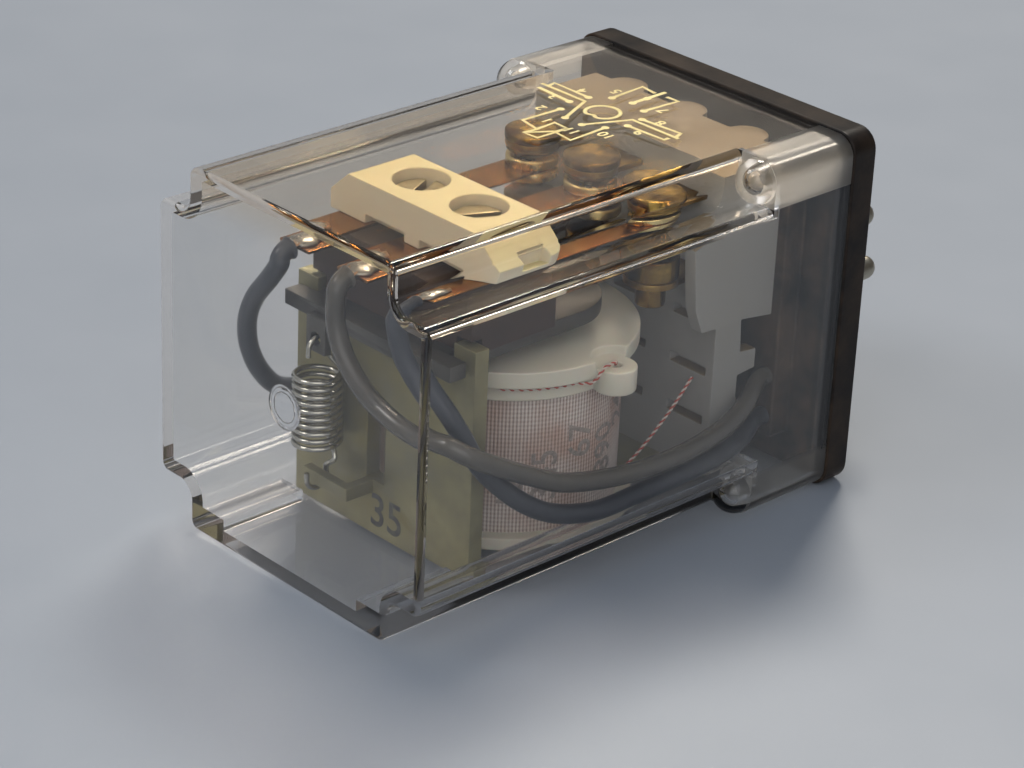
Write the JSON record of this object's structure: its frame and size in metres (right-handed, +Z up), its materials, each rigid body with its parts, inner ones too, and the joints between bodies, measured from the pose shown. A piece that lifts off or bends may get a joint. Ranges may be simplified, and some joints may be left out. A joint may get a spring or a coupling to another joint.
{
  "type": "electromagnetic relay",
  "caption": "Plug-in electromagnetic relay: hinged armature with changeover contacts, coil and return spring under a clear dust cover on a keyed round-pin base.",
  "frame": {"origin": "centre of the pin circle on the seating face of the base", "axes": "+X is the way the plug pins point, +Z is up through the printed face with the relay lying on its side, -Y is the side with the coil terminal"},
  "size_m": [0.0669, 0.036, 0.036],
  "materials": {
    "clear_cover": "clear, slightly smoky moulded plastic, glossy",
    "black_phenolic": "black moulded phenolic, semi-gloss",
    "pin_metal": "nickel-plated brass with solder at the tips",
    "carrier_plastic": "grey-beige moulded plastic, matt",
    "yoke_steel": "yellow-passivated zinc-plated steel",
    "screw_steel": "plated steel, slotted heads",
    "core_iron": "plated soft iron",
    "bobbin_plastic": "cream-white moulded nylon, satin",
    "copper_wire": "red enamelled copper wire",
    "woven_tape": "off-white woven insulating tape",
    "terminal_brass": "rolled brass strip",
    "contact_metal": "turned contact rivet, worn bright",
    "lead_insulation": "dark vinyl insulation",
    "armature_steel": "dark steel, oiled",
    "brown_insulator": "dark brown laminated insulator",
    "spring_bronze": "phosphor bronze leaf",
    "clamp_plastic": "beige moulded plastic, matt",
    "spring_wire": "spring steel wire"
  },
  "bodies": {
    "frame": {"base": "black_phenolic", "key_spigot": "black_phenolic", "contact_pins": "pin_metal", "cover": "clear_cover", "contact_carrier": "carrier_plastic", "yoke": "yoke_steel", "yoke_screws": "screw_steel", "core": "core_iron", "bobbin": "bobbin_plastic", "winding": "copper_wire", "coil_tape": "woven_tape", "coil_lead_wires": "copper_wire", "return_spring": "spring_wire", "upper_terminal_1": "terminal_brass", "lower_terminal_1": "terminal_brass", "upper_contact_1": "contact_metal", "lower_contact_1": "contact_metal", "lead_1": "lead_insulation", "upper_terminal_2": "terminal_brass", "lower_terminal_2": "terminal_brass", "upper_contact_2": "contact_metal", "lower_contact_2": "contact_metal", "lead_2": "lead_insulation", "upper_terminal_3": "terminal_brass", "lower_terminal_3": "terminal_brass", "upper_contact_3": "contact_metal", "lower_contact_3": "contact_metal", "lead_3": "lead_insulation"},
    "armature_group": {"armature": "armature_steel", "lower_block": "brown_insulator", "moving_spring_1": "spring_bronze", "moving_spring_2": "spring_bronze", "moving_spring_3": "spring_bronze", "moving_contact_1": "contact_metal", "moving_contact_2": "contact_metal", "moving_contact_3": "contact_metal", "clamp_block": "clamp_plastic", "clamp_screws": "screw_steel"}
  },
  "joints": [
    {"name": "armature_pivot", "type": "hinge", "parent": "frame", "child": "armature_group", "pos_m": [-0.0416, 0, 0.0034], "axis": [0, 1, 0], "range_deg": [0, 2.6], "stiffness_Nm_per_rad": 0.03, "springref_deg": -11.46, "deforming": ["return_spring"]}
  ]
}
